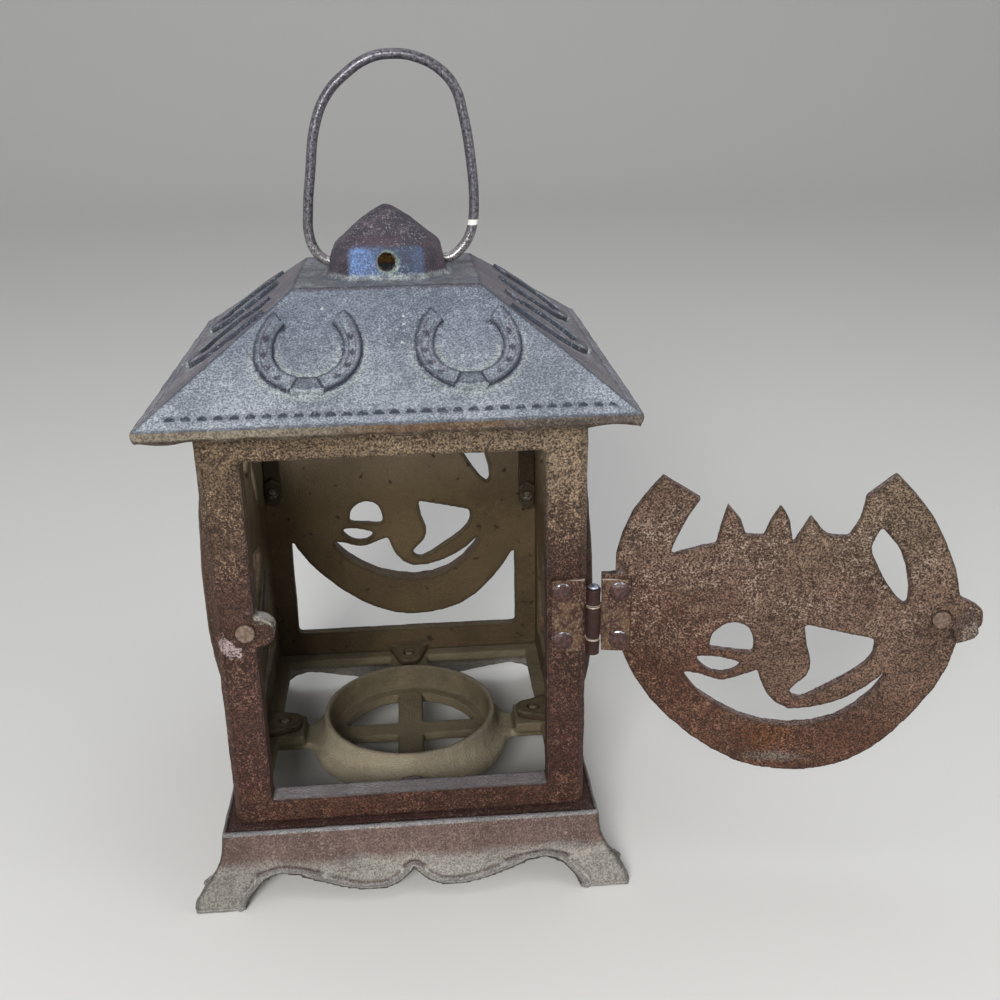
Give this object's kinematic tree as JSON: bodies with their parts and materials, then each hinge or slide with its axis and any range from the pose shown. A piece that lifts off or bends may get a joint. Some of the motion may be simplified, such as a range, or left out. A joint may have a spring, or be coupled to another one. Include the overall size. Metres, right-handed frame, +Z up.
{
  "type": "candle lantern",
  "caption": "Square cast iron candle lantern with openwork horseshoe walls, a hinged openwork door, a hipped roof with a hollow cap, a wire bail and a round candle cup.",
  "frame": {"origin": "middle of the candle's seat, on top of the cross in the cup, 21.9 mm above the floor", "axes": "+Z up, -Y out of the front frame, +X towards the hinge side"},
  "size_m": [0.2705, 0.1619, 0.282],
  "materials": {
    "base_iron": "dark paint over a fine sand-cast skin, dusty on the ledge",
    "wall_iron": "brown-black paint over a fine sand-cast skin",
    "roof_iron": "blue-grey satin paint with pale specks",
    "door_iron": "brown-black paint, worn, with a rusty patch",
    "wire": "grey wire, worn bright near the cap",
    "hinge_steel": "dark brown, bright at the knuckles' ends",
    "rivet_steel": "dull silver head",
    "bright_steel": "bright steel pin",
    "catch_steel": "dull plated disc"
  },
  "bodies": {
    "lantern": {"base": "base_iron", "front_frame": "wall_iron", "back_panel": "wall_iron", "left_panel": "wall_iron", "right_panel": "wall_iron", "roof": "roof_iron", "hinge_frame_leaf": "hinge_steel", "hinge_pin": "bright_steel", "frame_rivet_upper": "rivet_steel", "frame_rivet_lower": "rivet_steel", "catch_magnet": "catch_steel", "base_screw_back": "hinge_steel", "base_screw_left": "hinge_steel", "base_screw_front": "hinge_steel", "base_screw_right": "hinge_steel", "leg_screw_left": "roof_iron", "leg_screw_right": "roof_iron"},
    "door": {"door": "door_iron", "hinge_door_leaf": "hinge_steel", "door_rivet_upper": "rivet_steel", "door_rivet_lower": "rivet_steel", "door_strike": "catch_steel"},
    "handle": {"handle": "wire"}
  },
  "joints": [
    {"name": "door_hinge", "type": "hinge", "parent": "lantern", "child": "door", "pos_m": [0.064, -0.065, 0.0787], "axis": [0, 0, 1], "range_deg": [-172.18, 30]},
    {"name": "handle_swing", "type": "hinge", "parent": "lantern", "child": "handle", "pos_m": [0, 0, 0.1914], "axis": [1, 0, 0], "range_deg": [-92, 92]}
  ]
}
